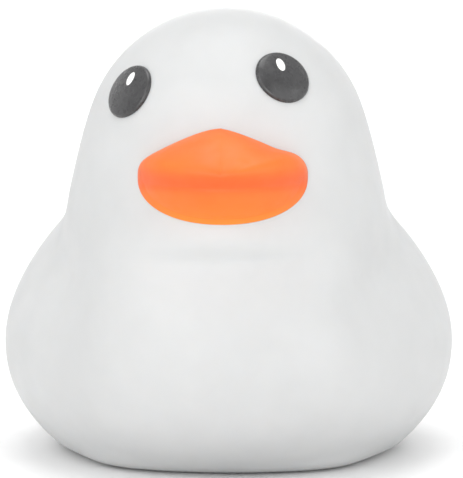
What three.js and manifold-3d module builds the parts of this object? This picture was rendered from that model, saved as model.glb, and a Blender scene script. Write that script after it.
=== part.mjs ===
// Floating tablet dispenser in the form of a duck.
// Millimetres, +Z up. The origin is the centre of the flat base plate's underside; the bill points to -Y.
import * as THREE from "three";
import { mergeVertices } from "three/addons/utils/BufferGeometryUtils.js";
import Module from "manifold-3d";

const wasm = await Module();
wasm.setup();

// ---------- Driving dimensions ----------
const GAP = 0.3; // clearance between pieces that touch
const ROUND = 40; // sides of a large round piece

// The duck's form is a smooth blend of rounded lumps, each with a centre and three half-sizes.
const FOOT = { at: [0, 0, 22], rim: 8, up: 30, power: 4 }; // its half-width is the base plate's radius and a rim
const BODY = { at: [0, -1, 49.5], half: [104.5, 97, 66], power: 2.1 };
const CHEST = { at: [0, -45, 66], half: [64, 60, 52], power: 3 };
const WING = { at: [48, 2.5, 55.5], half: [51.5, 66, 68.5], power: 1.8 };
const TAIL = { at: [0, 82, 84], half: [37, 42, 19], power: 2, lift: 32 };
const CROWN = { at: [0, -29, 141.5], half: [65, 64.5, 65.5], power: 2 };
const CHEEKS = { at: [0, -29, 106], half: [70, 71.5, 37], power: 2 };
const BLEND = { foot: 8, chest: 14, wing: 12, tail: 40, head: 33, neck: 14, base: 5 };
const CREASE = { z: 102, width: 4.5, depth: 2, half: 48, from: 60 }; // groove across the front of the neck

const SHELL_WALL = 2.4;
const SHELL_FOOT = 0.5; // the shell's rim stands this far above the base plate's underside
const SKIN_COLUMNS = 48;
const SKIN_CROWDING = 0.3; // share by which columns close up at the bill and the tail
const SKIN_HEIGHTS = [2, 5, 9, 15, 24, 36, 50, 62]; // rows of the skin below its ray centre
const SKIN_CENTRE_Z = 75;
const SKIN_ROWS = 24; // rows of the skin above its ray centre
const SKIN_LOWERING = 1.25; // power by which those rows close up towards the tail

const TABLET_R = 38.1; // 3 inch tablets
const BASKET = { play: 1.4, wall: 2, floor: 2.5, height: 66, flange: 4, slots: 12, slotW: 5, slotH: 18, slotUp: 3 };
const RIB = { w: 2, h: 5 }; // radial ribs that hold the tablets off the basket's floor
const WELL = { play: 2, wall: 2.5, mouthStep: 4, mouthWall: 2.5, headroom: 4 };
const KEY = { count: 3, r: 1.5, inset: 0.8, play: 0.35 };
const THREAD = { pitch: 5, depth: 1.6, play: 0.4, root: 2.4, crest: 1.2, bury: 0.2, up: 0.4 };
const RING = { width: 6.8, height: 9.1, up: 1, grips: 8, gripR: 3.5, gripH: 5 };
const SLIP_WASHER = { thick: 0.5, width: 5.5 };
const DIAL = { play: 1.7, thick: 2.6, hubR: 8, hubDrop: 2.8, barW: 7, barUp: 1.4 };
const VENT = { slots: 6, rIn: 13, rOut: 31, halfAngle: 12 }; // slots in the basket's floor and in the dial
const DIAL_SCREW = { r: 1.9, headR: 3.6, headH: 2.2, headUp: 2, bossR: 5 };
const WAVE_WASHER = { thick: 0.7, width: 2.2 };

const PLATE = { thick: 3.5, flange: 9.5 };
const GASKET = { thick: 2, inset: 0.5 };
const LIP_H = 9;
const SCREW = { count: 6, shankR: 1.9, headR: 3.3, headH: 1.8, recess: 0.5, short: 1.6 };
const CROSS = { w: 0.9, span: 1.3, depth: 0.9 }; // cross recess in a screw's head, span in head half-widths
const PLUG = { r: 3.2, headR: 5, headH: 1.2, past: 4.6, z: 42 };

const BILL = {
  width: 74, top: 24.5, roof: 25.3, slope: 0.495, corner: 16, bottom: 25.2, lowerPower: 2.1,
  reach: 35, z: 132, rootY: -83, lipLift: 5, ridgePower: 1.4, rows: 10, columns: 36,
};
const BILL_PEG = { r: 3.4, spread: 17, z: 134, root: 6 };
const EYE = { r: 12.5, thick: 1.3, pegR: 2.4 };
const EYES = [
  { name: "right", azimuth: -46, elevation: 27 },
  { name: "left", azimuth: 28.5, elevation: 33.7 },
];
const NUT = { over: 3.6, thick: 1.6, eyeClear: 1, billClear: 4.8, end: 3.2 }; // clear of the wall, and the peg past the nut

// ---------- Sizes that follow from them ----------
const basketIn = TABLET_R + BASKET.play;
const basketOut = basketIn + BASKET.wall;
const wellIn = basketOut + WELL.play;
const wellOut = wellIn + WELL.wall;
const mouthIn = wellIn + WELL.mouthStep;
const mouthOut = mouthIn + WELL.mouthWall;
const ringCrest = mouthIn - THREAD.play;
const ringBody = ringCrest - THREAD.depth - THREAD.play;
const ringIn = ringBody - RING.width;
const ringTop = RING.up + RING.height;
const slipZ = ringTop + GAP;
const flangeZ = slipZ + SLIP_WASHER.thick + GAP;
const flangeR = basketOut + BASKET.flange;
const floorTop = flangeZ + BASKET.floor;
const mouthDepth = floorTop + GAP;
const ringTurns = (RING.height - 2 * THREAD.up - THREAD.root) / THREAD.pitch;
const mouthTurns = ringTurns - 0.5;
const ribTop = floorTop + RIB.h;
const basketTop = flangeZ + BASKET.height;
const wellTop = basketTop + WELL.headroom;
const dialR = ringIn - DIAL.play;
const dialTop = flangeZ - GAP;
const dialZ = dialTop - DIAL.thick;
const hubZ = dialZ - DIAL.hubDrop;
const gasketZ = PLATE.thick + GAP;
const lipZ = gasketZ + GASKET.thick + GAP;
const lipTop = lipZ + LIP_H;
const lipIn = mouthOut + 2 * GAP;
const plateR = mouthOut + PLATE.flange;
const recessR = plateR + 1.5 * GAP;
const screwCircle = (lipIn + recessR) / 2;
const screwTurn = 360 / SCREW.count / 2; // the first screw stands half a step round from +X
const screwTip = lipTop - SCREW.short;
const foot = { ...FOOT, half: [plateR + FOOT.rim, plateR + FOOT.rim, FOOT.up] };
const eyeNutZ = SHELL_WALL + NUT.eyeClear;
const billNutZ = SHELL_WALL + NUT.billClear;
const plugDepth = SHELL_WALL + PLUG.past;
const ventStep = 180 / VENT.slots; // the dial turns this far, in degrees, from shut to open

const group = new THREE.Group();
const finish = (color, roughness, metalness = 0) =>
  new THREE.MeshStandardMaterial({ color, roughness, metalness });
const WHITE = finish(0xe9e9e9, 0.45);
const ORANGE = finish(0xff8a48, 0.45);
const BLACK = finish(0x3c3c3c, 0.3);
const GREY = finish(0xbfc6cc, 0.5);
const BLUE = finish(0x3f7fb5, 0.45);
const RUBBER = finish(0x2b2b2b, 0.8);
const STEEL = finish(0xb8bcc0, 0.3, 1);

// ---------- Solids ----------

// A closed geometry as a solid, turned to face outwards.
function solid(geometry) {
  const bare = geometry.index ? geometry.toNonIndexed() : geometry.clone();
  for (const name of Object.keys(bare.attributes)) if (name !== "position") bare.deleteAttribute(name);
  const merged = mergeVertices(bare, 1e-4);
  const p = merged.attributes.position;
  const corners = [];
  let volume = 0;
  const [a, b, c] = [new THREE.Vector3(), new THREE.Vector3(), new THREE.Vector3()];
  for (let i = 0; i < merged.index.count; i += 3) {
    const t = [0, 1, 2].map((k) => merged.index.getX(i + k));
    if (t[0] === t[1] || t[1] === t[2] || t[0] === t[2]) continue;
    corners.push(t);
    [a, b, c].forEach((v, k) => v.fromBufferAttribute(p, t[k]));
    volume += a.dot(b.cross(c));
  }
  const order = volume < 0 ? (t) => [t[0], t[2], t[1]] : (t) => t;
  return new wasm.Manifold(
    new wasm.Mesh({
      numProp: 3,
      vertProperties: new Float32Array(p.array),
      triVerts: new Uint32Array(corners.flatMap(order)),
    }),
  );
}

// A solid as one named mesh of the group.
function piece(name, body, material) {
  const m = body.getMesh();
  const geometry = new THREE.BufferGeometry()
    .setAttribute("position", new THREE.BufferAttribute(new Float32Array(m.vertProperties), 3))
    .setIndex(new THREE.BufferAttribute(new Uint32Array(m.triVerts), 1));
  const mesh = new THREE.Mesh(geometry, material);
  mesh.name = name;
  group.add(mesh);
}

// A profile of [radius, height] corners turned about Z.
function turned(profile, segments = ROUND) {
  const closed = [...profile, profile[0]].map(([r, z]) => new THREE.Vector2(r, z));
  return solid(new THREE.LatheGeometry(closed, segments).rotateX(Math.PI / 2));
}

// A ring between two radii and two heights.
const ring = (rIn, rOut, z0, z1, segments) =>
  turned([[rIn, z0], [rOut, z0], [rOut, z1], [rIn, z1]], segments);

// A disc or rod about Z between two heights.
function rod(r, z0, z1, segments = 24) {
  const g = new THREE.CylinderGeometry(r, r, z1 - z0, segments).rotateX(Math.PI / 2);
  return solid(g.translate(0, 0, (z0 + z1) / 2));
}

// A box from its two corners.
function block(lo, hi) {
  const g = new THREE.BoxGeometry(hi[0] - lo[0], hi[1] - lo[1], hi[2] - lo[2]);
  return solid(g.translate((lo[0] + hi[0]) / 2, (lo[1] + hi[1]) / 2, (lo[2] + hi[2]) / 2));
}

// A sector of a ring, centred on +X, between two heights.
function sector(rIn, rOut, halfAngle, z0, z1) {
  const h = THREE.MathUtils.degToRad(halfAngle);
  const outline = new THREE.Shape().absarc(0, 0, rOut, -h, h, false).absarc(0, 0, rIn, h, -h, true);
  const g = new THREE.ExtrudeGeometry(outline, { depth: z1 - z0, bevelEnabled: false, curveSegments: 4 });
  return solid(g.translate(0, 0, z0));
}

// Copies of a solid, spaced round Z from a first angle, each taken by step(total, copy).
function round(start, tool, count, step, first = 0) {
  let total = start;
  for (let i = 0; i < count; i++) total = step(total, tool.rotate([0, 0, first + (360 * i) / count]));
  return total;
}
const add = (total, tool) => total.add(tool);
const cut = (total, tool) => total.subtract(tool);

// A solid placed with its +Z along a direction, at a point.
function placed(body, point, direction) {
  const turn = new THREE.Quaternion().setFromUnitVectors(new THREE.Vector3(0, 0, 1), direction);
  return body.transform(new THREE.Matrix4().compose(point, turn, new THREE.Vector3(1, 1, 1)).elements);
}

// Closed loops of points, one above the other, joined into a solid and closed at both ends by a point.
function lofted(first, loops, last) {
  const n = loops[0].length;
  const points = [first, ...loops.flat(), last];
  const at = (row, col) => 1 + row * n + (col % n);
  const faces = [];
  for (let j = 0; j < n; j++) {
    faces.push(0, at(0, j + 1), at(0, j));
    faces.push(points.length - 1, at(loops.length - 1, j), at(loops.length - 1, j + 1));
    for (let i = 0; i + 1 < loops.length; i++) {
      faces.push(at(i, j), at(i, j + 1), at(i + 1, j));
      faces.push(at(i, j + 1), at(i + 1, j + 1), at(i + 1, j));
    }
  }
  return solid(new THREE.BufferGeometry().setFromPoints(points).setIndex(faces));
}

// ---------- The duck's form ----------

// Distance from a rounded lump, negative inside it.
function lump({ at, half, power, lift = 0 }, x, y, z) {
  let [u, v, w] = [x - at[0], y - at[1], z - at[2]];
  if (lift) {
    const [c, s] = [Math.cos(THREE.MathUtils.degToRad(lift)), Math.sin(THREE.MathUtils.degToRad(lift))];
    [v, w] = [c * v + s * w, c * w - s * v];
  }
  const q = [u, v, w].map((value, i) => Math.max(Math.abs(value) / half[i], 1e-6));
  const level = q.reduce((sum, value) => sum + value ** power, 0) ** (1 / power);
  const slope = Math.hypot(...q.map((value, i) => (value / level) ** (power - 1) / half[i]));
  return (level - 1) / slope;
}

// The lower of two distances, rounded where they meet.
function blended(a, b, width) {
  const h = Math.max(width - Math.abs(a - b), 0) / width;
  return Math.min(a, b) - (h * h * width) / 4;
}

// How far the groove across the front of the neck is pressed in.
function crease(x, y, z) {
  const across = Math.max(1 - (x / CREASE.half) ** 2, 0);
  const front = Math.min(Math.max(-y / CREASE.from, 0), 1);
  return CREASE.depth * across ** 2 * front * Math.exp(-(((z - CREASE.z) / CREASE.width) ** 2));
}

// Distance from the duck's outer skin.
function duckDistance({ x, y, z }) {
  let d = blended(lump(BODY, x, y, z), lump(foot, x, y, z), BLEND.foot);
  d = blended(d, lump(CHEST, x, y, z), BLEND.chest);
  d = blended(d, lump(WING, Math.abs(x), y, z), BLEND.wing);
  d = blended(d, lump(TAIL, x, y, z), BLEND.tail);
  const head = blended(lump(CROWN, x, y, z), lump(CHEEKS, x, y, z), BLEND.head);
  d = blended(d, head, BLEND.neck) + crease(x, y, z);
  return -blended(-d, z, BLEND.base);
}

// Where a ray from inside meets the skin, or a level that far outside it.
function skinPoint(origin, direction, offset = 0) {
  let [near, far] = [0, 200];
  const p = new THREE.Vector3();
  for (let i = 0; i < 30; i++) {
    const middle = (near + far) / 2;
    p.copy(origin).addScaledVector(direction, middle);
    if (duckDistance(p) < offset) near = middle;
    else far = middle;
  }
  return p.clone();
}

// The skin's outward direction at a point.
function skinNormal(p) {
  const step = 0.05;
  const slope = (dx, dy, dz) =>
    duckDistance({ x: p.x + dx, y: p.y + dy, z: p.z + dz }) -
    duckDistance({ x: p.x - dx, y: p.y - dy, z: p.z - dz });
  return new THREE.Vector3(slope(step, 0, 0), slope(0, step, 0), slope(0, 0, step)).normalize();
}

// The skin's columns, closer together at the bill and the tail than at the wings.
const azimuths = Array.from({ length: SKIN_COLUMNS }, (_, j) => {
  const even = (2 * Math.PI * j) / SKIN_COLUMNS;
  return even + (SKIN_CROWDING * Math.sin(2 * even)) / 2;
});

// One loop of the skin: level at a height, or up at an angle from the ray centre.
function skinLoop(z, angle, offset) {
  const centre = new THREE.Vector3(0, 0, z);
  const [c, s] = [Math.cos(angle), Math.sin(angle)];
  return azimuths.map((a) =>
    skinPoint(centre, new THREE.Vector3(c * Math.cos(a), c * Math.sin(a), s), offset),
  );
}

// The skin's loops from just under the crown down to a lowest height.
function skinLoops(offset, lowest) {
  const loops = [];
  for (let i = SKIN_ROWS - 1; i >= 0; i--)
    loops.push(skinLoop(SKIN_CENTRE_Z, (i / SKIN_ROWS) ** SKIN_LOWERING * (Math.PI / 2), offset));
  for (const z of [...SKIN_HEIGHTS].reverse()) if (z > lowest + 1) loops.push(skinLoop(z, 0, offset));
  loops.push(skinLoop(lowest, 0, offset));
  return loops;
}

const crownPoint = (offset) =>
  skinPoint(new THREE.Vector3(0, 0, SKIN_CENTRE_Z), new THREE.Vector3(0, 0, 1), offset);

// A solid of the whole duck, grown by an offset.
function duckSolid(offset) {
  return lofted(crownPoint(offset), skinLoops(offset, SHELL_FOOT), new THREE.Vector3(0, 0, SHELL_FOOT));
}

const circle = (r, z) => azimuths.map((a) => new THREE.Vector3(r * Math.cos(a), r * Math.sin(a), z));

// The hollow moulded float: outer skin, recess for the base plate, lip for its screws, inner skin.
function makeShell() {
  const inner = skinLoops(-SHELL_WALL, lipTop).reverse();
  const rim = [circle(recessR, SHELL_FOOT), circle(recessR, lipZ), circle(lipIn, lipZ), circle(lipIn, lipTop)];
  const loops = [...skinLoops(0, SHELL_FOOT), ...rim, ...inner];
  let shell = lofted(crownPoint(0), loops, crownPoint(-SHELL_WALL));
  const pilot = rod(SCREW.shankR + GAP, 0, screwTip + GAP, 12);
  shell = round(shell, pilot.translate([screwCircle, 0, 0]), SCREW.count, cut, screwTurn);
  for (const side of [-1, 1]) shell = shell.subtract(billPeg(side, BILL_PEG.r + GAP));
  for (const eye of EYES) shell = shell.subtract(eyePeg(eye, EYE.pegR + GAP));
  return shell.subtract(atBack(rod(PLUG.r + GAP, -2, plugDepth, 16)));
}

// ---------- Bill and eyes ----------

// Half the bill's outline at an angle round it: a roof with a flat top and blunt ends, round below.
function billOutline(angle) {
  const [c, s] = [Math.cos(angle), Math.sin(angle)];
  const side = Math.abs(c) / (BILL.width / 2);
  const power = s > 0 ? BILL.corner : BILL.lowerPower;
  const levels = s > 0 ? [side, s / BILL.top, (s + BILL.slope * Math.abs(c)) / BILL.roof] : [side, -s / BILL.bottom];
  const level = levels.reduce((sum, l) => sum + l ** power, 0) ** (1 / power);
  return [c / level, s / level];
}

// How much of its outline the bill has reached, part of the way back from its tip: flatter along its ridge.
function billSwell(angle, back) {
  const power = 2 - (2 - BILL.ridgePower) * Math.max(Math.sin(angle), 0) ** 2;
  return (1 - (1 - back) ** power) ** (1 / power);
}

// The bill's swell beyond the head, from its tip back to its root and on into the head.
function billLump() {
  const loops = [];
  for (let i = 1; i <= BILL.rows; i++) {
    const back = i / BILL.rows;
    const [y, lift] = [BILL.rootY - BILL.reach * (1 - back), BILL.lipLift * (1 - back ** 3)];
    loops.push(
      Array.from({ length: BILL.columns }, (_, j) => {
        const angle = (2 * Math.PI * j) / BILL.columns;
        const [[x, z], swell] = [billOutline(angle), billSwell(angle, back)];
        return new THREE.Vector3(x * swell, y, BILL.z + z * swell + lift);
      }),
    );
  }
  const inside = BILL.rootY + BILL.reach;
  loops.push(loops.at(-1).map((p) => new THREE.Vector3(p.x, inside, p.z)));
  const tip = new THREE.Vector3(0, BILL.rootY - BILL.reach, BILL.z + BILL.lipLift);
  return lofted(tip, loops, new THREE.Vector3(0, inside, BILL.z));
}

// A solid on the line of one of the bill's pegs: its z is 0 on the skin and grows into the head.
function billPlaced(side, body) {
  const inside = new THREE.Vector3(side * BILL_PEG.spread, CHEEKS.at[1], BILL_PEG.z);
  const seat = skinPoint(inside, new THREE.Vector3(0, -1, 0));
  return placed(body, seat, new THREE.Vector3(0, 1, 0));
}
const billPeg = (side, r) => billPlaced(side, rod(r, -BILL_PEG.root, billNutZ + NUT.thick + NUT.end, 16));

function makeBill(clearSkin) {
  let bill = billLump().subtract(clearSkin);
  for (const side of [-1, 1]) bill = bill.add(billPeg(side, BILL_PEG.r));
  return bill;
}

// A solid on an eye's centre line, square to the skin: its z is 0 on the skin and grows into the head.
function eyePlaced({ azimuth, elevation }, body) {
  const [a, e] = [azimuth, elevation].map(THREE.MathUtils.degToRad);
  const look = new THREE.Vector3(Math.sin(a) * Math.cos(e), -Math.cos(a) * Math.cos(e), Math.sin(e));
  const seat = skinPoint(new THREE.Vector3(...CROWN.at), look);
  return placed(body, seat, skinNormal(seat).negate());
}
const eyePeg = (eye, r) => eyePlaced(eye, rod(r, -EYE.thick, eyeNutZ + NUT.thick + NUT.end, 16));

// A thin domed disc that follows the head, with its peg.
function makeEye(eye, clearSkin, eyeSkin) {
  const disc = eyePlaced(eye, rod(EYE.r, -3 * EYE.thick, EYE.r / 3, 40));
  return disc.intersect(eyeSkin).subtract(clearSkin).add(eyePeg(eye, EYE.pegR));
}

// ---------- Base ----------

// A helical ridge round a cylinder, one side buried in it, tapered at both ends.
function threadRidge(rootR, crestR, z0, turns) {
  const steps = Math.round(turns * ROUND);
  const section = [[0, -THREAD.root / 2], [1, -THREAD.crest / 2], [1, THREAD.crest / 2], [0, THREAD.root / 2]];
  const loops = [];
  for (let i = 0; i <= steps; i++) {
    const a = (2 * Math.PI * turns * i) / steps;
    const full = Math.min(1, 0.1 + (8 * Math.min(i, steps - i)) / steps);
    const z = z0 + THREAD.root / 2 + (THREAD.pitch * a) / (2 * Math.PI);
    loops.push(
      section.map(([out, dz]) => {
        const r = rootR + (crestR - rootR) * out * full;
        return new THREE.Vector3(r * Math.cos(a), r * Math.sin(a), z + dz);
      }),
    );
  }
  const middle = (loop) => loop.reduce((sum, p) => sum.add(p), new THREE.Vector3()).divideScalar(loop.length);
  return lofted(middle(loops[0]), loops, middle(loops.at(-1)));
}

const keyRod = (r, z0) => rod(r, z0, mouthDepth + 1, 12).translate([flangeR - KEY.inset, 0, 0]);

// The round base: disc, threaded mouth, well for the basket, keys and screw holes.
function makeBasePlate() {
  const mouthTop = mouthDepth + WELL.wall;
  let base = turned(
    [
      [mouthIn, 0], [plateR, 0], [plateR, PLATE.thick], [mouthOut, PLATE.thick], [mouthOut, mouthTop],
      [wellOut, mouthTop], [wellOut, wellTop + WELL.wall], [0, wellTop + WELL.wall],
      [0, wellTop], [wellIn, wellTop], [wellIn, mouthDepth], [mouthIn, mouthDepth],
    ],
  );
  const threadZ = RING.up + THREAD.up + THREAD.pitch / 2;
  base = base.add(threadRidge(mouthIn + THREAD.bury, mouthIn - THREAD.depth, threadZ, mouthTurns));
  base = round(base, keyRod(KEY.r, flangeZ + GAP), KEY.count, add);
  const sunk = SCREW.recess + SCREW.headH + GAP;
  const hole = rod(SCREW.shankR + GAP, -1, PLATE.thick + 1, 12).add(rod(SCREW.headR + GAP, -1, sunk, 16));
  return round(base, hole.translate([screwCircle, 0, 0]), SCREW.count, cut, screwTurn);
}

function makeGasket() {
  const flat = ring(mouthOut + GASKET.inset, plateR - GASKET.inset, gasketZ, gasketZ + GASKET.thick);
  const hole = rod(SCREW.shankR + GAP, gasketZ - 1, lipZ + 1, 12).translate([screwCircle, 0, 0]);
  return round(flat, hole, SCREW.count, cut, screwTurn);
}

// A pan-head screw, head down, from its head's underside up to its tip.
function panScrew(shankR, headR, headH, headZ, tipZ) {
  const cross = block([-CROSS.span, -CROSS.w / 2, headZ - 1], [CROSS.span, CROSS.w / 2, headZ + CROSS.depth]);
  return rod(headR, headZ, headZ + headH, 16)
    .add(rod(shankR, headZ + headH - GAP, tipZ, 8))
    .subtract(cross)
    .subtract(cross.rotate([0, 0, 90]));
}

// A solid placed on the back of the shell, under the tail, with its +Z pointing into the duck.
function atBack(body) {
  const seat = skinPoint(new THREE.Vector3(0, 0, PLUG.z), new THREE.Vector3(0, 1, 0));
  return placed(body, seat, skinNormal(seat).negate());
}

// The plug that closes the shell's moulding vent: a thin head on the skin and a stem through the wall.
function makeVentPlug(clearSkin) {
  const head = atBack(rod(PLUG.headR, -PLUG.headH - GAP, 2, 20)).subtract(clearSkin);
  return head.add(atBack(rod(PLUG.r, -PLUG.headH, plugDepth, 16)));
}

// ---------- Tablet basket, dial and lock ring ----------

const ventSector = (z0, z1) => sector(VENT.rIn, VENT.rOut, VENT.halfAngle, z0, z1);

// The cup for the tablets: flange, slotted floor with ribs, slotted wall, boss for the dial's screw.
function makeBasket() {
  let basket = turned([
    [0, flangeZ], [flangeR, flangeZ], [flangeR, floorTop], [basketOut, floorTop],
    [basketOut, basketTop], [basketIn, basketTop], [basketIn, floorTop], [0, floorTop],
  ]);
  const rib = block([DIAL_SCREW.bossR - 1, -RIB.w / 2, floorTop - 1], [basketIn + 1, RIB.w / 2, ribTop]);
  basket = round(basket, rib, VENT.slots, add, ventStep);
  basket = basket.add(rod(DIAL_SCREW.bossR, floorTop - 1, ribTop));
  basket = basket.subtract(rod(DIAL_SCREW.r + GAP, flangeZ - 1, ribTop - 1, 12));
  basket = round(basket, ventSector(flangeZ - 1, floorTop + 1), VENT.slots, cut);
  basket = round(basket, keyRod(KEY.r + KEY.play, flangeZ - 1), KEY.count, cut);
  const slotZ = ribTop + BASKET.slotUp;
  const slot = block([basketIn - 1, -BASKET.slotW / 2, slotZ], [basketOut + 1, BASKET.slotW / 2, slotZ + BASKET.slotH]);
  return round(basket, slot, BASKET.slots, cut, 180 / BASKET.slots);
}

// The slotted disc under the basket's floor, with a hub and a bar for the fingers.
function makeDial() {
  const halfBar = dialR - DIAL.hubR / 2;
  let dial = rod(dialR, dialZ, dialTop, ROUND);
  dial = round(dial, ventSector(dialZ - 1, dialTop + 1), VENT.slots, cut, ventStep);
  const bar = block([-halfBar, -DIAL.barW / 2, DIAL.barUp], [halfBar, DIAL.barW / 2, dialZ + GAP]);
  dial = dial.add(bar).add(rod(DIAL.hubR, DIAL.barUp, dialZ + GAP));
  const screwWell = rod(DIAL_SCREW.headR + 3 * GAP + WAVE_WASHER.width / 4, 0, hubZ);
  return dial.subtract(screwWell).subtract(rod(DIAL_SCREW.r + GAP, 0, dialTop + 1, 16));
}

// The threaded ring that carries the basket's flange.
function makeLockRing() {
  let body = ring(ringIn, ringBody, RING.up, ringTop);
  const threadZ = RING.up + THREAD.up;
  body = body.add(threadRidge(ringBody - THREAD.bury, ringCrest, threadZ, ringTurns));
  const grip = rod(RING.gripR, 0, RING.up + RING.gripH, 16).translate([ringIn, 0, 0]);
  return round(body, grip, RING.grips, cut);
}

// A push-on nut round a peg.
const nut = (pegR, z0) => ring(pegR + GAP, pegR + NUT.over, z0, z0 + NUT.thick, 16);

// ---------- Assembly ----------
const clearSkin = duckSolid(GAP);

piece("duck_shell", makeShell(), WHITE);
piece("bill", makeBill(clearSkin), ORANGE);
for (const eye of EYES) {
  piece("eye_" + eye.name, makeEye(eye, clearSkin, duckSolid(EYE.thick + GAP)), BLACK);
  piece("eye_nut_" + eye.name, eyePlaced(eye, nut(EYE.pegR, eyeNutZ)), GREY);
}
for (const [side, name] of [[-1, "right"], [1, "left"]])
  piece("bill_nut_" + name, billPlaced(side, nut(BILL_PEG.r, billNutZ)), GREY);
piece("vent_plug", makeVentPlug(clearSkin), WHITE);

piece("base_plate", makeBasePlate(), GREY);
piece("base_gasket", makeGasket(), RUBBER);
for (let i = 0; i < SCREW.count; i++) {
  const screw = panScrew(SCREW.shankR, SCREW.headR, SCREW.headH, SCREW.recess, screwTip);
  const turn = screwTurn + (360 * i) / SCREW.count;
  piece("base_screw_" + (i + 1), screw.translate([screwCircle, 0, 0]).rotate([0, 0, turn]), STEEL);
}

piece("tablet_basket", makeBasket(), WHITE);
const dialScrewTip = ribTop - 1 - GAP;
piece("dial_screw", panScrew(DIAL_SCREW.r, DIAL_SCREW.headR, DIAL_SCREW.headH, DIAL_SCREW.headUp, dialScrewTip), STEEL);
const waveZ = hubZ - GAP - WAVE_WASHER.thick;
const waveIn = DIAL_SCREW.r + GAP;
piece("wave_washer", ring(waveIn, waveIn + WAVE_WASHER.width, waveZ, waveZ + WAVE_WASHER.thick, 24), STEEL);
piece("vent_dial", makeDial(), BLUE);
const slipOut = flangeR - GAP;
piece("slip_washer", ring(slipOut - SLIP_WASHER.width, slipOut, slipZ, slipZ + SLIP_WASHER.thick), RUBBER);
piece("lock_ring", makeLockRing(), BLUE);

export default group;
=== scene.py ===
"""Finished looks of a duck-shaped floating tablet dispenser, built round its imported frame.

The float, its bill and its eyes are made again at a fine resolution from the same rounded lumps as the
CAD part. The base, the basket, the dial and the fasteners keep their CAD shapes and get softened edges
and their own finishes. The form is worked out in millimetres, and every mesh is made in metres.
"""

import logging
import math
from dataclasses import dataclass
from enum import Enum
from typing import Any

import bpy
import numpy as np
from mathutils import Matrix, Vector

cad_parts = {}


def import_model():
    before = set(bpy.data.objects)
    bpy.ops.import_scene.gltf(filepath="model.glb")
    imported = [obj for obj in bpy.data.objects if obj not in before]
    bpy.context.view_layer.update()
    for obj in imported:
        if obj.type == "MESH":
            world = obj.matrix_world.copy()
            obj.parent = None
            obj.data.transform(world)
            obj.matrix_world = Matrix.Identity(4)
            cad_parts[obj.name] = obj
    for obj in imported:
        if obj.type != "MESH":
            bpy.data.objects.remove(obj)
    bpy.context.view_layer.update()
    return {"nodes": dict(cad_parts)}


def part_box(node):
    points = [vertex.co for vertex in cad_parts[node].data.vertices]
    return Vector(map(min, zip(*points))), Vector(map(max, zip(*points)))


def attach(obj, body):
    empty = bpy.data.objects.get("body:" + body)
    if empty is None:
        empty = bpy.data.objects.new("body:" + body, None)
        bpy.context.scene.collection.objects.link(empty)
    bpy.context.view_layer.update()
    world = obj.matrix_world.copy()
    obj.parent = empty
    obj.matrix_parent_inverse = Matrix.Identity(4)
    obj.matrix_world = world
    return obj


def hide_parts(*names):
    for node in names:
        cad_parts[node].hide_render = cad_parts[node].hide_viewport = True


LOG = logging.getLogger("duck_dispenser")
MM = 0.001
GAP = 0.3
Faces = list[tuple[int, ...]]


class Body(Enum):
    """The moving bodies of the frame."""

    FLOAT = "float"
    BASKET = "basket"
    DIAL = "dial"
    RING = "ring"


class Slot(Enum):
    """The record's material slots."""

    SHELL = "shell_white"
    BILL = "bill_orange"
    EYE = "eye_dark"
    BASE = "base_grey"
    BASKET = "basket_white"
    CONTROL = "control_blue"
    NUT = "nut_nylon"
    SEAL = "seal_rubber"
    STEEL = "stainless"


# ---------- Nodes ----------


def linear(code: str) -> tuple[float, float, float, float]:
    """Turns an sRGB hex colour to a linear one.

    Args:
        code: Six hex digits, with or without a leading hash.

    Returns:
        Linear red, green and blue, and an alpha of 1.
    """
    digits = code.lstrip("#")
    channels = [int(digits[i : i + 2], 16) / 255 for i in (0, 2, 4)]
    values = [c / 12.92 if c <= 0.04045 else ((c + 0.055) / 1.055) ** 2.4 for c in channels]
    return (values[0], values[1], values[2], 1.0)


def add_node(
    tree: bpy.types.NodeTree,
    kind: str,
    settings: dict[str, Any] | None = None,
    links: dict[str | int, bpy.types.NodeSocket] | None = None,
) -> bpy.types.Node:
    """Adds a node with its settings and links.

    Args:
        tree: The node tree that it goes in.
        kind: Blender's type name without its ShaderNode prefix.
        settings: Attributes, or values of inputs, by name.
        links: Sockets that feed its inputs, by the input's name or number.

    Returns:
        The new node.
    """
    node = tree.nodes.new("ShaderNode" + kind)
    for name, value in (settings or {}).items():
        if name in node.inputs:
            node.inputs[name].default_value = value
        else:
            setattr(node, name, value)
    for name, socket in (links or {}).items():
        tree.links.new(socket, node.inputs[name])
    return node


def per_millimetre(size: float) -> float:
    """Returns the pattern scale that gives features of a size in millimetres."""
    return 1.0 / (size * MM)


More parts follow.
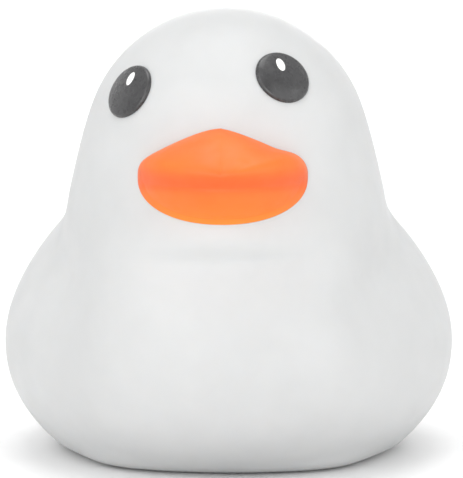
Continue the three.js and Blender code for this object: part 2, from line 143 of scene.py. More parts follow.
@dataclass(frozen=True)
class Finish:
    """A plastic or rubber finish: base colour, gloss, and what its mould left on it."""

    name: str
    colour: str
    shade: str
    roughness: tuple[float, float]
    ior: float = 1.5
    cloud: float = 30.0
    grit: float = 0.8
    grit_depth: float = 0.03
    wave: float = 12.0
    wave_depth: float = 0.03
    glow: float = 0.0
    glow_depth: float = 3.0
    coat: float = 0.0

    def build(self) -> bpy.types.Material:
        """Makes the material.

        Returns:
            The material, with its patterns and its shader.
        """
        material = bpy.data.materials.new(self.name)
        material.use_nodes = True
        tree = material.node_tree
        shader = tree.nodes["Principled BSDF"]
        place = add_node(tree, "TexCoord").outputs["Object"]
        tree.links.new(self.tint(tree, place), shader.inputs["Base Color"])
        tree.links.new(self.gloss(tree, place), shader.inputs["Roughness"])
        tree.links.new(self.relief(tree, place), shader.inputs["Normal"])
        self.constants(shader)
        return material

    def constants(self, shader: bpy.types.Node) -> None:
        """Sets what is the same all over the surface on the shader's own sockets."""
        shader.inputs["IOR"].default_value = self.ior
        shader.inputs["Coat Weight"].default_value = self.coat
        shader.inputs["Coat Roughness"].default_value = 0.08
        if self.glow:
            shader.inputs["Subsurface Weight"].default_value = self.glow
            shader.inputs["Subsurface Radius"].default_value = (1.0, 0.72, 0.5)
            shader.inputs["Subsurface Scale"].default_value = self.glow_depth * MM

    def tint(self, tree: bpy.types.NodeTree, place: bpy.types.NodeSocket) -> bpy.types.NodeSocket:
        """Clouds the colour towards its shade.

        Args:
            tree: The material's tree.
            place: The coordinates that the pattern lies in.

        Returns:
            The colour's socket.
        """
        cloud = add_node(
            tree,
            "TexNoise",
            {"Scale": per_millimetre(self.cloud), "Detail": 4.0, "Roughness": 0.55},
            {"Vector": place},
        )
        spread = add_node(
            tree,
            "MapRange",
            {"From Min": 0.38, "From Max": 0.66},
            {"Value": cloud.outputs["Fac"]},
        )
        mix = add_node(
            tree,
            "Mix",
            {"data_type": "RGBA"},
            {"Factor": spread.outputs["Result"]},
        )
        mix.inputs[6].default_value = linear(self.colour)
        mix.inputs[7].default_value = linear(self.shade)
        return mix.outputs[2]

    def gloss(self, tree: bpy.types.NodeTree, place: bpy.types.NodeSocket) -> bpy.types.NodeSocket:
        """Varies the roughness between its two values.

        Args:
            tree: The material's tree.
            place: The coordinates that the pattern lies in.

        Returns:
            The roughness's socket.
        """
        patches = add_node(
            tree,
            "TexNoise",
            {"Scale": per_millimetre(self.cloud * 0.4), "Detail": 5.0},
            {"Vector": place},
        )
        low, high = self.roughness
        return add_node(
            tree,
            "MapRange",
            {"From Min": 0.35, "From Max": 0.7, "To Min": low, "To Max": high},
            {"Value": patches.outputs["Fac"]},
        ).outputs["Result"]

    def relief(self, tree: bpy.types.NodeTree, place: bpy.types.NodeSocket) -> bpy.types.NodeSocket:
        """Gives the mould's grit over its slow waves.

        Args:
            tree: The material's tree.
            place: The coordinates that the pattern lies in.

        Returns:
            The normal's socket.
        """
        wave = add_node(
            tree, "TexNoise", {"Scale": per_millimetre(self.wave), "Detail": 1.0}, {"Vector": place}
        )
        slow = add_node(
            tree,
            "Bump",
            {"Strength": 1.0, "Distance": self.wave_depth * MM},
            {"Height": wave.outputs["Fac"]},
        )
        grit = add_node(
            tree, "TexNoise", {"Scale": per_millimetre(self.grit), "Detail": 2.0}, {"Vector": place}
        )
        return add_node(
            tree,
            "Bump",
            {"Strength": 1.0, "Distance": self.grit_depth * MM},
            {"Height": grit.outputs["Fac"], "Normal": slow.outputs["Normal"]},
        ).outputs["Normal"]


@dataclass(frozen=True)
class SoftVinyl(Finish):
    """Rotomoulded soft vinyl, with painted light: a darker painted shade along the mouth line, and a
    yellower painted bounce light low down.
    """

    # Painted bounce light: a yellower orange low on the bill, full at the lower height and gone at the
    # upper one.
    painted_bounce_colour: str = "F2861A"
    painted_bounce_full_z: float = 110.0
    painted_bounce_gone_z: float = 130.0
    # Painted shade: a darker orange band along the mouth line, centred on mouth_z.
    painted_mouth_shade_colour: str = "E2560E"
    mouth_z: float = 134.5
    painted_mouth_shade_half: float = 8.0

    def tint(self, tree: bpy.types.NodeTree, place: bpy.types.NodeSocket) -> bpy.types.NodeSocket:
        """Blends a painted shade in across the bill at the mouth, and a painted yellow bounce light towards
        its underside.

        Args:
            tree: The material's tree.
            place: The coordinates that the pattern lies in.

        Returns:
            The colour's socket.
        """
        clouded = super().tint(tree, place)
        height = add_node(tree, "SeparateXYZ", {}, {"Vector": place}).outputs["Z"]
        # Painted bounce light: yellower towards the bill's underside, fading out with height.
        low = add_node(
            tree,
            "MapRange",
            {
                "interpolation_type": "SMOOTHSTEP",
                "From Min": self.painted_bounce_full_z * MM,
                "From Max": self.painted_bounce_gone_z * MM,
                "To Min": 1.0,
                "To Max": 0.0,
            },
            {"Value": height},
        )
        # Painted shade: darker orange mixed in near the mouth's height, strongest on the line itself.
        away = add_node(tree, "Math", {"operation": "SUBTRACT"}, {0: height})
        away.inputs[1].default_value = self.mouth_z * MM
        off = add_node(tree, "Math", {"operation": "ABSOLUTE"}, {0: away.outputs["Value"]})
        hollow = add_node(
            tree,
            "MapRange",
            {
                "interpolation_type": "SMOOTHERSTEP",
                "From Min": 0.0,
                "From Max": self.painted_mouth_shade_half * MM,
                "To Min": 0.75,
                "To Max": 0.0,
            },
            {"Value": off.outputs["Value"]},
        )
        mouth = add_node(
            tree, "Mix", {"data_type": "RGBA"}, {"Factor": hollow.outputs["Result"], 6: clouded}
        )
        mouth.inputs[7].default_value = linear(self.painted_mouth_shade_colour)
        mix = add_node(
            tree,
            "Mix",
            {"data_type": "RGBA"},
            {"Factor": low.outputs["Result"], 6: mouth.outputs[2]},
        )
        mix.inputs[7].default_value = linear(self.painted_bounce_colour)
        return mix.outputs[2]


@dataclass(frozen=True)
class TurnedSteel(Finish):
    """Stainless steel, turned and passivated: fine drawn marks that run one way."""

    mark: float = 3.5

    def constants(self, shader: bpy.types.Node) -> None:
        """Makes it a metal, at the default IOR."""
        shader.inputs["Metallic"].default_value = 1.0

    def relief(self, tree: bpy.types.NodeTree, place: bpy.types.NodeSocket) -> bpy.types.NodeSocket:
        """Gives fine marks, drawn out along one direction.

        Args:
            tree: The material's tree.
            place: The coordinates that the pattern lies in.

        Returns:
            The normal's socket.
        """
        stretched = add_node(tree, "Mapping", {"Scale": (1.0, 14.0, 1.0)}, {"Vector": place})
        marks = add_node(
            tree,
            "TexNoise",
            {"Scale": per_millimetre(self.mark), "Detail": 3.0},
            {"Vector": stretched.outputs["Vector"]},
        )
        return add_node(
            tree,
            "Bump",
            {"Strength": 0.6, "Distance": 0.02 * MM},
            {"Height": marks.outputs["Fac"]},
        ).outputs["Normal"]


# Rotomoulded polyethylene: satin and faintly cloudy, a little light passes into it, and the cast mould
# leaves a very fine grit over long shallow waves.
SHELL_FINISH = Finish(
    "rotomoulded_polyethylene_white", "C7C8C8", "C2C3C3", (0.42, 0.55), 1.51,
    cloud=45.0, grit=0.9, grit_depth=0.012, wave=22.0, wave_depth=0.04, glow=0.12, glow_depth=3.5,
)  # fmt: skip
# Soft vinyl: satin with a soft sheen, a warm glow where it is thin.
BILL_FINISH = SoftVinyl(
    "soft_vinyl_orange", "EF701C", "ED6B18", (0.42, 0.56), 1.53,
    cloud=18.0, grit=0.9, grit_depth=0.014, wave=9.0, wave_depth=0.05, glow=0.1, glow_depth=2.0,
)  # fmt: skip
# Moulded acrylic, polished in the mould: dark and glossy, with a slightly hazy depth.
EYE_FINISH = Finish(
    "polished_acrylic_dark", "3D3D3E", "303031", (0.24, 0.34), 1.49,
    cloud=7.0, grit=1.2, grit_depth=0.004, wave=6.0, wave_depth=0.02, coat=0.25,
)  # fmt: skip
# Pad-printed ink: flat white, with the slight dry edge of the pad.
GLINT_FINISH = Finish(
    "pad_printed_ink_white", "F7F7F5", "EDEDEA", (0.38, 0.5), 1.5,
    cloud=1.5, grit=0.4, grit_depth=0.006, wave=2.0, wave_depth=0.004,
)  # fmt: skip
# Injection-moulded polypropylene from a spark-eroded mould: an even fine matt grain.
BASE_FINISH = Finish(
    "moulded_polypropylene_grey", "B7BEC4", "AEB5BB", (0.46, 0.6), 1.49,
    cloud=24.0, grit=0.6, grit_depth=0.03, wave=14.0, wave_depth=0.03, glow=0.05, glow_depth=1.0,
)  # fmt: skip
# The same plastic, left white: a little more light passes into it.
BASKET_FINISH = Finish(
    "moulded_polypropylene_white", "E6E8E6", "DADCD9", (0.42, 0.56), 1.49,
    cloud=20.0, grit=0.6, grit_depth=0.025, wave=12.0, wave_depth=0.03, glow=0.1, glow_depth=1.5,
)  # fmt: skip
# The same plastic with a strong pigment, which hides the light inside it.
CONTROL_FINISH = Finish(
    "moulded_polypropylene_blue", "2F74B0", "2869A3", (0.4, 0.54), 1.49,
    cloud=16.0, grit=0.6, grit_depth=0.03, wave=10.0, wave_depth=0.03, glow=0.04, glow_depth=1.0,
)  # fmt: skip
# Moulded nylon: milky and waxy.
NUT_FINISH = Finish(
    "moulded_nylon_natural", "DDD9CC", "CFCABB", (0.38, 0.5), 1.53,
    cloud=6.0, grit=0.5, grit_depth=0.01, wave=4.0, wave_depth=0.02, glow=0.2, glow_depth=1.2,
)  # fmt: skip
# Moulded EPDM: matt black with a pale dusty bloom.
SEAL_FINISH = Finish(
    "moulded_rubber_black", "232324", "37383A", (0.72, 0.86), 1.52,
    cloud=9.0, grit=0.5, grit_depth=0.02, wave=6.0, wave_depth=0.03,
)  # fmt: skip
# Stainless steel: a bright grey with darker patches where it was handled.
STEEL_FINISH = TurnedSteel("turned_stainless_steel", "C2C5C8", "A9ADB1", (0.22, 0.36), cloud=5.0)


# ---------- The duck's form ----------


@dataclass(frozen=True)
class Lump:
    """A rounded lump with a centre, three half-sizes, and a power that squares it up."""

    at: tuple[float, float, float]
    half: tuple[float, float, float]
    power: float
    lift: float = 0.0

    def distance(self, points: np.ndarray) -> np.ndarray:
        """Measures how far points are from the lump.

        Args:
            points: Points along the last axis, in millimetres.

        Returns:
            Distances, negative inside.
        """
        q = points - np.array(self.at)
        if self.lift:
            c, s = math.cos(math.radians(self.lift)), math.sin(math.radians(self.lift))
            q = np.stack([q[..., 0], c * q[..., 1] + s * q[..., 2], c * q[..., 2] - s * q[..., 1]], -1)
        q = np.maximum(np.abs(q) / np.array(self.half), 1e-6)
        level = (q**self.power).sum(-1) ** (1 / self.power)
        slope = np.linalg.norm((q / level[..., None]) ** (self.power - 1) / np.array(self.half), axis=-1)
        return (level - 1) / slope


def blended(a: np.ndarray, b: np.ndarray, width: float) -> np.ndarray:
    """Returns the lower of two distances, rounded where they meet."""
    h = np.maximum(width - np.abs(a - b), 0) / width
    return np.minimum(a, b) - h * h * width / 4


@dataclass(frozen=True)
class DuckForm:
    """The duck's outer skin as one smooth blend of lumps, in millimetres."""

    plate_radius: float
    foot_rim: float = 8.0
    foot_z: float = 22.0
    foot_half: float = 30.0
    foot_power: float = 4.0
    foot_blend: float = 8.0
    chest_blend: float = 14.0
    wing_blend: float = 12.0
    tail_blend: float = 40.0
    head_blend: float = 33.0
    neck_blend: float = 14.0
    base_blend: float = 5.0
    body: Lump = Lump((0, -1, 49.5), (104.5, 97, 66), 2.1)
    chest: Lump = Lump((0, -45, 66), (64, 60, 52), 3)
    wing: Lump = Lump((48, 2.5, 55.5), (51.5, 66, 68.5), 1.8)
    tail: Lump = Lump((0, 82, 84), (37, 42, 19), 2, 32)
    crown: Lump = Lump((0, -29, 141.5), (65, 64.5, 65.5), 2)
    cheeks: Lump = Lump((0, -29, 106), (70, 71.5, 37), 2)
    crease_z: float = 99.5
    crease_width: tuple[float, float] = (5.5, 17.0)
    crease_depth: float = 3.6
    crease_half: float = 54.0
    crease_from: float = 60.0

    def crease(self, points: np.ndarray) -> np.ndarray:
        """Returns how far the groove across the front of the neck is pressed in."""
        x, y, z = points[..., 0], points[..., 1], points[..., 2]
        across_front = np.maximum(1 - (x / self.crease_half) ** 2, 0) ** 2
        front = np.clip(-y / self.crease_from, 0, 1)
        width = np.where(z > self.crease_z, *self.crease_width)
        return self.crease_depth * across_front * front * np.exp(-(((z - self.crease_z) / width) ** 2))

    def distance(self, points: np.ndarray) -> np.ndarray:
        """Measures how far points are from the skin.

        Args:
            points: Points along the last axis.

        Returns:
            Distances, negative inside.
        """
        rim = self.plate_radius + self.foot_rim
        foot = Lump((0, 0, self.foot_z), (rim, rim, self.foot_half), self.foot_power)
        mirrored = points * (np.sign(points) * [1, 0, 0] + [0, 1, 1])
        d = blended(self.body.distance(points), foot.distance(points), self.foot_blend)
        d = blended(d, self.chest.distance(points), self.chest_blend)
        d = blended(d, self.wing.distance(mirrored), self.wing_blend)
        d = blended(d, self.tail.distance(points), self.tail_blend)
        head = blended(self.crown.distance(points), self.cheeks.distance(points), self.head_blend)
        d = blended(d, head, self.neck_blend) + self.crease(points)
        return -blended(-d, points[..., 2], self.base_blend)

    def hit(self, origins: np.ndarray, directions: np.ndarray, offset: Any = 0.0) -> np.ndarray:
        """Finds where rays from inside meet the skin, or a level that far outside it.

        Args:
            origins: Where the rays start.
            directions: Their unit directions.
            offset: How far outside the skin the level is.

        Returns:
            The points that the rays meet.
        """
        origins, directions = np.broadcast_arrays(np.asarray(origins, float), np.asarray(directions, float))
        near, far = np.zeros(origins.shape[:-1]), np.full(origins.shape[:-1], 200.0)
        for _ in range(28):
            middle = (near + far) / 2
            inside = self.distance(origins + directions * middle[..., None]) < offset
            near, far = np.where(inside, middle, near), np.where(inside, far, middle)
        return origins + directions * near[..., None]

    def normal(self, points: np.ndarray) -> np.ndarray:
        """Returns the skin's outward directions at points."""
        steps = np.eye(3) * 0.05
        slope = np.stack([self.distance(points + s) - self.distance(points - s) for s in steps], -1)
        return slope / np.maximum(np.linalg.norm(slope, axis=-1, keepdims=True), 1e-9)


# ---------- Meshes ----------


def make_mesh(name: str, points: np.ndarray, faces: Faces, sharp: float = 35.0) -> bpy.types.Object:
    """Makes a smooth mesh object.

    Args:
        name: The object's name.
        points: Points in millimetres.
        faces: Corner numbers of each face.
        sharp: Edges that turn by more than this many degrees stay sharp.

    Returns:
        The linked object.
    """
    mesh = bpy.data.meshes.new(name)
    mesh.from_pydata((np.asarray(points) * MM).tolist(), [], faces)
    mesh.validate()
    mesh.shade_smooth()
    mesh.set_sharp_from_angle(angle=math.radians(sharp))
    mesh.update()
    made = bpy.data.objects.new(name, mesh)
    bpy.context.scene.collection.objects.link(made)
    return made


def lofted(first: np.ndarray, loops: np.ndarray, last: np.ndarray) -> tuple[np.ndarray, Faces]:
    """Joins closed loops of points into one closed surface with a point at each end.

    Args:
        first: The point before the first loop.
        loops: Loops of equal numbers of points, in order.
        last: The point after the last loop.

    Returns:
        The points and the faces.
    """
    rows, n = loops.shape[:2]
    points = np.concatenate([[first], loops.reshape(-1, 3), [last]])
    end = len(points) - 1
    faces: Faces = []
    for j in range(n):
        k = (j + 1) % n
        faces.append((0, 1 + k, 1 + j))
        faces.append((end, 1 + (rows - 1) * n + j, 1 + (rows - 1) * n + k))
        for i in range(rows - 1):
            a, b = 1 + i * n, 1 + (i + 1) * n
            faces.append((a + j, a + k, b + k, b + j))
    return points, faces


def outward(points: np.ndarray, faces: Faces) -> Faces:
    """Returns the faces turned so that the closed surface faces outwards."""
    corners = np.array([f[:3] for f in faces])
    a, b, c = points[corners[:, 0]], points[corners[:, 1]], points[corners[:, 2]]
    volume = np.einsum("ij,ij->i", a, np.cross(b, c)).sum()
    return faces if volume > 0 else [tuple(reversed(f)) for f in faces]


def circle(radius: float, z: float, azimuths: np.ndarray) -> np.ndarray:
    """Returns a level loop of points."""
    return np.stack([radius * np.cos(azimuths), radius * np.sin(azimuths), np.full(len(azimuths), z)], -1)


def lathe(
    profile: list[tuple[float, float]], origin: np.ndarray, axis: np.ndarray, sides: int
) -> tuple[np.ndarray, Faces]:
    """Turns a profile of radius and height round an axis into a closed surface.

    Args:
        profile: Radius and height of each loop, without the points on the axis.
        origin: The point on the axis at height 0.
        axis: The axis's unit direction.
        sides: How many points each loop has.

    Returns:
        The points and the faces.
    """
    u, v = across(axis)
    angles = np.linspace(0, 2 * math.pi, sides, endpoint=False)
    loops = np.array(
        [[origin + r * (math.cos(a) * u + math.sin(a) * v) + h * axis for a in angles] for r, h in profile]
    )
    return lofted(origin + profile[0][1] * axis, loops, origin + profile[-1][1] * axis)


def across(axis: np.ndarray) -> tuple[np.ndarray, np.ndarray]:
    """Returns a level direction and an upright one, both square to an axis."""
    side = np.cross([0.0, 0.0, 1.0], axis)
    side = side / np.linalg.norm(side)
    return side, np.cross(axis, side)


def joined(parts: list[tuple[np.ndarray, Faces]]) -> tuple[np.ndarray, Faces]:
    """Puts several surfaces in one list of points and faces, each facing outwards."""
    points: list[np.ndarray] = []
    faces: Faces = []
    for part, sides in parts:
        start = sum(len(p) for p in points)
        faces += [tuple(start + i for i in f) for f in outward(part, sides)]
        points.append(part)
    return np.concatenate(points), faces


def finished(piece: bpy.types.Object, material: bpy.types.Material, body: Body) -> None:
    """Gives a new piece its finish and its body."""
    piece.data.materials.append(material)
    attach(piece, body.value)
    LOG.info("%s rides on %s", piece.name, body.value)


# ---------- The float ----------


@dataclass
class FloatShell:
    """The hollow moulded float: outer skin, recess for the base plate, lip, inner skin."""

    form: DuckForm
    lip_z: float
    lip_in: float = 50.6
    columns: int = 216
    low_rows: int = 44
    high_rows: int = 92
    relaxations: int = 6
    wall: float = 2.4
    foot: float = 0.5
    lip_height: float = 9.0
    centre_z: float = 75.0

    def azimuths(self, count: int) -> np.ndarray:
        """Returns the directions of the skin's columns, closer together at the bill and the tail."""
        even = np.linspace(0, 2 * math.pi, count, endpoint=False)
        return even + 0.15 * np.sin(2 * even)

    def skin(self, lowest: float, offset: float, columns: int, low_rows: int, high_rows: int) -> np.ndarray:
        """Casts the skin's loops, from just under the crown down.

        Args:
            lowest: Height of the lowest loop.
            offset: How far outside the skin the loops lie.
            columns: Points in each loop.
            low_rows: Level loops below the ray centre.
            high_rows: Loops above it, which rise by an angle.

        Returns:
            The loops.
        """
        turn = self.azimuths(columns)
        angles = (np.arange(high_rows - 1, -1, -1) / high_rows) ** 1.2 * math.pi / 2
        heights = lowest + (self.centre_z - lowest) * (np.arange(low_rows - 1, -1, -1) / low_rows) ** 1.6
        centres = np.concatenate([np.full(high_rows, self.centre_z), heights])
        tilt = np.concatenate([angles, np.zeros(low_rows)])
        directions = np.stack(
            [
                np.cos(tilt)[:, None] * np.cos(turn),
                np.cos(tilt)[:, None] * np.sin(turn),
                np.sin(tilt)[:, None] * np.ones(columns),
            ],
            -1,
        )
        origins = np.zeros(directions.shape)
        origins[..., 2] = centres[:, None]
        return self.form.hit(origins, directions, offset)

    def relaxed(self, loops: np.ndarray) -> np.ndarray:
        """Evens out the skin's points and puts them back on the form.

        Args:
            loops: The skin's loops.

        Returns:
            Loops with the first few and the last few as they were.
        """
        kept = slice(3, -8)
        for _ in range(self.relaxations):
            along = np.roll(loops, 1, 0) + np.roll(loops, -1, 0)
            mean = (along + np.roll(loops, 1, 1) + np.roll(loops, -1, 1)) / 4
            moved = (loops[kept] + mean[kept]) / 2
            moved -= self.form.normal(moved) * self.form.distance(moved)[..., None]
            loops[kept] = moved
        return loops

    def build(self, material: bpy.types.Material) -> bpy.types.Object:
        """Makes the shell and lets it stand for the CAD one.

        Args:
            material: Its finish.

        Returns:
            The shell.
        """
        outer = self.relaxed(self.skin(self.foot, 0.0, self.columns, self.low_rows, self.high_rows))
        turn = self.azimuths(self.columns)
        recess = self.form.plate_radius + 1.5 * GAP
        lip_top = self.lip_z + self.lip_height
        rim = [(recess, self.foot), (recess, self.lip_z), (self.lip_in, self.lip_z), (self.lip_in, lip_top)]
        inner = self.skin(lip_top, -self.wall, self.columns, 6, 18)[::-1]
        loops = np.concatenate([outer, [circle(r, z, turn) for r, z in rim], inner])
        top = self.form.hit([0, 0, self.centre_z], [0, 0, 1])
        points, faces = lofted(top, loops, top - [0, 0, self.wall])
        shell = make_mesh("moulded_float", points, outward(points, faces))
        finished(shell, material, Body.FLOAT)
        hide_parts("duck_shell")
        return shell


@dataclass
class Bill:
    """The orange bill: an upper and a lower half moulded in one, with a soft mouth line between them."""

    form: DuckForm
    width: float = 74.0
    top: float = 24.3
    roof_right: float = 26.9
    roof_left: float = 25.5
    slope: float = 0.52
    corner: float = 16.0
    bottom: float = 25.2
    lower_power: float = 2.1
    reach: float = 35.0
    z: float = 132.0
    root_y: float = -83.0
    lip_lift: float = 5.0
    ridge_power: float = 1.4
    columns: int = 192
    rows: int = 64
    mouth_z: float = 132.3
    mouth_depth: float = 0.35
    mouth_width: float = 1.0
    overhang: float = 2.6
    fold: tuple[float, float, float] = (0.08, 18.0, 7.5)
    peg_radius: float = 3.4
    peg_spread: float = 17.0
    peg_z: float = 134.0

    def surface(self, angle: np.ndarray, back: np.ndarray) -> np.ndarray:
        """Returns the bill's plain surface.

        Args:
            angle: Angles round the bill, from +X upwards.
            back: Shares of the way from its tip to its root.

        Returns:
            The points.
        """
        level = np.where(np.sin(angle) > 0, self.upper_level(angle), self.lower_level(angle))
        share, middle, spread = self.fold
        out = (1 + share * np.exp(-(((np.degrees(angle) - middle) / spread) ** 2))) / level
        power = 2 - (2 - self.ridge_power) * np.maximum(np.sin(angle), 0) ** 2
        ahead = 1 - np.minimum(back, 1)
        swell = (1 - ahead**power) ** (1 / power)
        lift = self.lip_lift * (1 - (1 - ahead) ** 3)
        y = self.root_y - self.reach * (1 - back) + 0 * out
        return np.stack([np.cos(angle) * out * swell, y, self.z + np.sin(angle) * out * swell + lift], -1)

    def upper_level(self, angle: np.ndarray) -> np.ndarray:
        """Returns 1 over the outline's radius above: a roof with a flat top and blunt ends."""
        c, s = np.abs(np.cos(angle)), np.maximum(np.sin(angle), 0)
        roof = np.where(np.cos(angle) > 0, self.roof_left, self.roof_right)
        sides = np.stack([c / (self.width / 2), s / self.top, (s + self.slope * c) / roof])
        return (sides**self.corner).sum(0) ** (1 / self.corner)

    def lower_level(self, angle: np.ndarray) -> np.ndarray:
        """Returns 1 over the outline's radius below, where it is round."""
        c, s = np.abs(np.cos(angle)), np.maximum(-np.sin(angle), 0)
        power = self.lower_power
        return ((c / (self.width / 2)) ** power + (s / self.bottom) ** power) ** (1 / power)

    def root(self, angle: np.ndarray) -> np.ndarray:
        """Finds how far back the bill's surface goes before it meets the head, at each angle."""
        near, far = np.full(angle.shape, 0.05), np.full(angle.shape, 2.0)
        for _ in range(26):
            middle = (near + far) / 2
            outside = self.form.distance(self.surface(angle, middle)) > GAP
            near, far = np.where(outside, middle, near), np.where(outside, far, middle)
        return near

    def mouth(self, points: np.ndarray, seat: np.ndarray) -> np.ndarray:
        """Presses the mouth line in and sets the lower half back.

        Args:
            points: The bill's plain points.
            seat: Shares that fade the change out at the head, from 0 there to 1.

        Returns:
            The points with the mouth.
        """
        under = (self.mouth_z - points[..., 2]) / 7.0
        step = np.clip(under + 1, 0, 1)
        step = step * step * (3 - 2 * step)
        line = np.exp(-(((points[..., 2] - self.mouth_z) / self.mouth_width) ** 2))
        inward = np.array([0.0, self.root_y + 12, self.z]) - points
        inward /= np.linalg.norm(inward, axis=-1, keepdims=True)
        moved = points + inward * (self.mouth_depth * line * seat)[..., None]
        moved[..., 1] += self.overhang * step * seat
        return moved

    def build(self, material: bpy.types.Material) -> bpy.types.Object:
        """Makes the bill with its pegs and lets it stand for the CAD one.

        Args:
            material: Its finish.

        Returns:
            The bill.
        """
        angle = np.linspace(0, 2 * math.pi, self.columns, endpoint=False)
        root = self.root(angle)
        share = (np.arange(1, self.rows + 1) / self.rows) ** 1.6
        plain = self.surface(angle[None, :] + 0 * share[:, None], share[:, None] * root[None, :])
        seat = np.clip((1 - share) / 0.25, 0, 1)[:, None]
        front = self.mouth(plain, seat)
        edge = front[-1]
        middle = np.array([0.0, edge[:, 1].mean(), self.z])
        backs = []
        for inner in (0.985, 0.9, 0.75, 0.5, 0.25):
            loop = middle + (edge - middle) * inner
            start = loop.copy()
            start[:, 1] = self.form.cheeks.at[1]
            backs.append(self.form.hit(start, [0.0, -1.0, 0.0], GAP))
        tip = np.array([0.0, self.root_y - self.reach, self.z + self.lip_lift])
        tip = self.mouth(tip[None], np.ones(1))[0]
        seat_middle = self.form.hit([0, self.form.cheeks.at[1], self.z], [0.0, -1.0, 0.0], GAP)
        parts = [lofted(tip, np.concatenate([front, backs]), seat_middle)]
        for side in (-1, 1):
            inside = [side * self.peg_spread, self.form.cheeks.at[1], self.peg_z]
            start = self.form.hit(inside, [0.0, -1.0, 0.0])
            profile = [(self.peg_radius, -2.0), (self.peg_radius, 11.6), (self.peg_radius - 0.4, 12.0)]
            parts.append(lathe(profile, start, np.array([0.0, 1.0, 0.0]), 32))
        points, faces = joined(parts)
        bill = make_mesh("moulded_bill", points, faces, 50.0)
        finished(bill, material, Body.FLOAT)
        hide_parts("bill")
        return bill


@dataclass
class Eye:
    """A thin domed eye that lies on the head, with a printed white glint."""

    form: DuckForm
    name: str
    azimuth: float
    elevation: float
    radius: float = 12.5
    thick: float = 1.3
    dome: float = 0.7
    round_over: float = 1.2
    peg_radius: float = 2.4
    glint_half: tuple[float, float] = (1.9, 3.3)
    glint_up: float = 5.0
    glint_in: float = 0.6
    sides: int = 96

    def __post_init__(self) -> None:
        """Finds the eye's seat on the head and its directions."""
        a, e = math.radians(self.azimuth), math.radians(self.elevation)
        look = np.array([math.sin(a) * math.cos(e), -math.cos(a) * math.cos(e), math.sin(e)])
        self.seat = self.form.hit(np.array(self.form.crown.at, float), look)
        self.axis = self.form.normal(self.seat)
        self.side, self.up = across(self.axis)

    def raised(self, x: np.ndarray, y: np.ndarray, height: Any) -> np.ndarray:
        """Returns points over the eye's own plane, at a height over the head's skin."""
        start = self.seat + x[..., None] * self.side + y[..., None] * self.up - 12 * self.axis
        return self.form.hit(start, self.axis, height)

    def height(self, r: np.ndarray) -> np.ndarray:
        """Returns the eye's height over the skin at radii from its centre."""
        crest = GAP + self.thick + self.dome * (1 - (r / self.radius) ** 2)
        edge = np.clip((r - (self.radius - self.round_over)) / self.round_over, 0, 1)
        return crest - self.round_over * (1 - np.sqrt(1 - edge**2))

    def build(self, material: bpy.types.Material, ink: bpy.types.Material) -> None:
        """Makes the eye, its peg and its glint.

        Args:
            material: The eye's finish.
            ink: The glint's finish.
        """
        turn = np.linspace(0, 2 * math.pi, self.sides, endpoint=False)
        flat = self.radius - self.round_over
        edge = flat + self.round_over * np.sin(np.linspace(0.2, math.pi / 2, 7))
        radii = np.concatenate([flat * np.linspace(0.08, 1, 12), edge])
        rings = [self.raised(r * np.cos(turn), r * np.sin(turn), self.height(r)) for r in radii]
        rings += [self.raised(r * np.cos(turn), r * np.sin(turn), GAP) for r in (self.radius, 9.0, 5.0)]
        zero = np.zeros(1)
        crest = self.raised(zero, zero, self.height(zero))[0]
        under = self.raised(zero, zero, GAP)[0]
        peg = lathe(
            [(self.peg_radius, 0.5), (self.peg_radius, -8.0), (self.peg_radius - 0.4, -8.4)],
            self.seat, self.axis, 28,
        )  # fmt: skip
        points, faces = joined([lofted(crest, np.array(rings), under), peg])
        eye = make_mesh("domed_eye_" + self.name, points, faces)
        finished(eye, material, Body.FLOAT)
        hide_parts("eye_" + self.name)
        self.glint(ink, turn)

    def glint(self, ink: bpy.types.Material, turn: np.ndarray) -> None:
        """Makes the printed oval on the eye.

        Args:
            ink: Its finish.
            turn: Angles round it.
        """
        inner = math.copysign(self.glint_in, -self.azimuth)
        rings = []
        for share, proud in ((0.3, 0.05), (0.65, 0.05), (0.95, 0.045), (1.0, 0.0), (0.9, -0.05)):
            x = inner + share * self.glint_half[0] * np.cos(turn)
            y = self.glint_up + share * self.glint_half[1] * np.sin(turn)
            rings.append(self.raised(x, y, self.height(np.hypot(x, y)) + proud))
        x, y = np.array([inner]), np.array([self.glint_up])
        middle = self.raised(x, y, self.height(np.hypot(x, y)) + 0.05)[0]
        points, faces = lofted(middle, np.array(rings), middle - 0.1 * self.axis)
        mark = make_mesh("eye_glint_" + self.name, points, outward(points, faces))
        finished(mark, ink, Body.FLOAT)


# ---------- Carried-over pieces ----------


@dataclass
class CarriedPieces:
    """The CAD nodes that keep their shape, with softened edges and a finish each."""

    nodes: dict[str, bpy.types.Object]
    edge: float = 0.3

    def dress(self, prefix: str, material: bpy.types.Material, edge: float | None = None) -> None:
        """Softens and paints the nodes whose names start with a prefix.

        Args:
            prefix: The start of their names.
            material: Their finish.
            edge: How wide their edges are rounded, in millimetres.
        """
        for name, node in sorted(self.nodes.items()):
            if not name.startswith(prefix):
                continue
            self.soften(node, self.edge if edge is None else edge)
            node.data.materials.clear()
            node.data.materials.append(material)
            LOG.info("%s keeps its CAD shape", name)

    def soften(self, node: bpy.types.Object, width: float) -> None:
        """Rounds a node's edges with modifiers, so that its own mesh stays as it is."""
        weld = node.modifiers.new("weld", "WELD")
        weld.merge_threshold = 0.002 * MM
        flat = node.modifiers.new("flat_faces", "DECIMATE")
        flat.decimate_type = "DISSOLVE"
        flat.angle_limit = math.radians(1.0)
        bevel = node.modifiers.new("edges", "BEVEL")
        bevel.width = width * MM
        bevel.segments = 2
        bevel.limit_method = "ANGLE"
        bevel.angle_limit = math.radians(40)
        bevel.harden_normals = True
        for face in node.data.polygons:
            face.use_smooth = True


# ---------- Studio ----------


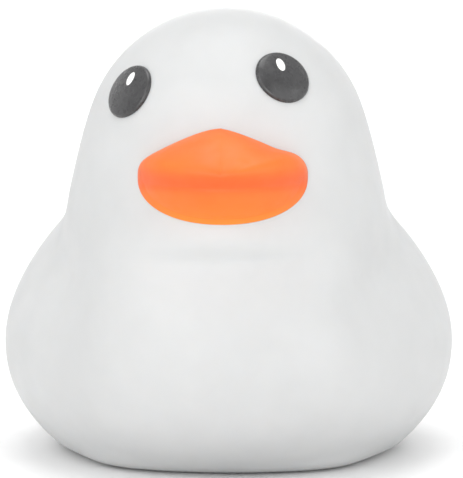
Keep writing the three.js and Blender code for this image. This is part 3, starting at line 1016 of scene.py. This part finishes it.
@dataclass
class Studio:
    """A pale floor that turns up into a backdrop all round, soft boxes and the camera."""

    azimuth: float = 1.6
    elevation: float = 6.6
    distance: float = 1.0
    lens: float = 162.4
    target: tuple[float, float, float] = (0.0018, -0.017, 0.1)

    def camera(self) -> None:
        """Makes the scene's camera."""
        data = bpy.data.cameras.new("camera")
        data.lens = self.lens
        data.sensor_width = 36.0
        data.clip_start, data.clip_end = 0.01, 20.0
        made = bpy.data.objects.new("camera", data)
        bpy.context.scene.collection.objects.link(made)
        a, e = math.radians(self.azimuth), math.radians(self.elevation)
        back = Vector((math.sin(a) * math.cos(e), -math.cos(a) * math.cos(e), math.sin(e)))
        made.location = Vector(self.target) + back * self.distance
        made.rotation_mode = "QUATERNION"
        made.rotation_quaternion = (-back).to_track_quat("-Z", "Y")
        bpy.context.scene.camera = made

    def floor(self) -> None:
        """Makes the floor, as one round sheet that curves up into a backdrop on every side."""
        flat, radius, top, sides, low = 1.7, 1.0, 2.0, 96, -0.0004
        profile = [(flat * i / 6, low) for i in range(1, 7)]
        profile += [
            (flat + radius * math.sin(t), low + radius - radius * math.cos(t))
            for t in np.linspace(0.08, math.pi / 2, 16)
        ]
        profile.append((flat + radius, top))
        turn = np.linspace(0, 2 * math.pi, sides, endpoint=False)
        points = [(0.0, 0.0, low)]
        points += [(r * math.cos(a), r * math.sin(a), z) for r, z in profile for a in turn]
        faces = [(0, 1 + j, 1 + (j + 1) % sides) for j in range(sides)]
        for i in range(len(profile) - 1):
            a, b = 1 + i * sides, 1 + (i + 1) * sides
            faces += [(a + j, b + j, b + (j + 1) % sides, a + (j + 1) % sides) for j in range(sides)]
        mesh = bpy.data.meshes.new("floor")
        mesh.from_pydata(points, [], faces)
        mesh.shade_smooth()
        sheet = bpy.data.objects.new("floor", mesh)
        bpy.context.scene.collection.objects.link(sheet)
        mesh.materials.append(Finish("matt_paper_white", "F9F9F9", "F7F7F7", (0.85, 0.95)).build())

    def softbox(self, name: str, place: tuple[float, float, float], size: float, power: float) -> None:
        """Adds a square area light that faces the object.

        Args:
            name: Its name.
            place: Where it stands.
            size: Its side.
            power: Its power in watts.
        """
        data = bpy.data.lights.new(name, "AREA")
        data.shape, data.size, data.energy = "SQUARE", size, power
        box = bpy.data.objects.new(name, data)
        bpy.context.scene.collection.objects.link(box)
        box.location = place
        box.visible_camera = False
        aim = Vector((0.0, 0.0, 0.1)) - box.location
        box.rotation_mode = "QUATERNION"
        box.rotation_quaternion = aim.to_track_quat("-Z", "Y")

    def build(self) -> None:
        """Makes the whole studio."""
        scene = bpy.context.scene
        world = bpy.data.worlds.new("studio_air")
        world.use_nodes = True
        sky = world.node_tree.nodes["Background"]
        sky.inputs["Color"].default_value = (1.0, 1.0, 1.0, 1.0)
        sky.inputs["Strength"].default_value = 0.86
        scene.world = world
        scene.view_settings.view_transform = "Standard"
        self.camera()
        self.floor()
        self.softbox("key", (-0.9, -1.6, 1.5), 1.2, 6.0)
        self.softbox("fill", (1.5, -1.2, 0.9), 1.4, 4.5)
        self.softbox("top", (0.0, 0.0, 2.2), 1.2, 12.0)
        self.softbox("low_front", (-0.2, -1.8, 0.2), 1.2, 11.0)
        self.softbox("low_back", (0.0, 2.4, 0.6), 1.4, 13.0)


def main() -> None:
    """Builds the object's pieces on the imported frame, and the studio round them."""
    logging.basicConfig(level=logging.INFO, format="%(message)s")
    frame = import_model()
    plate_low, plate_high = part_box("base_plate")
    gasket_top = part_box("base_gasket")[1].z / MM
    form = DuckForm((plate_high.x - plate_low.x) / 2 / MM)
    Studio().build()
    shell_finish = SHELL_FINISH.build()
    FloatShell(form, gasket_top + GAP).build(shell_finish)
    Bill(form).build(BILL_FINISH.build())
    eye_finish, glint_finish = EYE_FINISH.build(), GLINT_FINISH.build()
    Eye(form, "right", -46.0, 27.0).build(eye_finish, glint_finish)
    Eye(form, "left", 28.5, 33.7).build(eye_finish, glint_finish)
    carried = CarriedPieces(frame["nodes"])
    steel, control = STEEL_FINISH.build(), CONTROL_FINISH.build()
    seal, nut = SEAL_FINISH.build(), NUT_FINISH.build()
    for prefix, material, edge in (
        ("base_plate", BASE_FINISH.build(), None),
        ("base_gasket", seal, 0.15),
        ("base_screw", steel, 0.12),
        ("tablet_basket", BASKET_FINISH.build(), None),
        ("dial_screw", steel, 0.12),
        ("wave_washer", steel, 0.1),
        ("vent_dial", control, None),
        ("slip_washer", seal, 0.1),
        ("lock_ring", control, None),
        ("vent_plug", shell_finish, 0.2),
        ("eye_nut", nut, 0.15),
        ("bill_nut", nut, 0.15),
    ):
        carried.dress(prefix, material, edge)


if __name__ == "__main__":
    main()
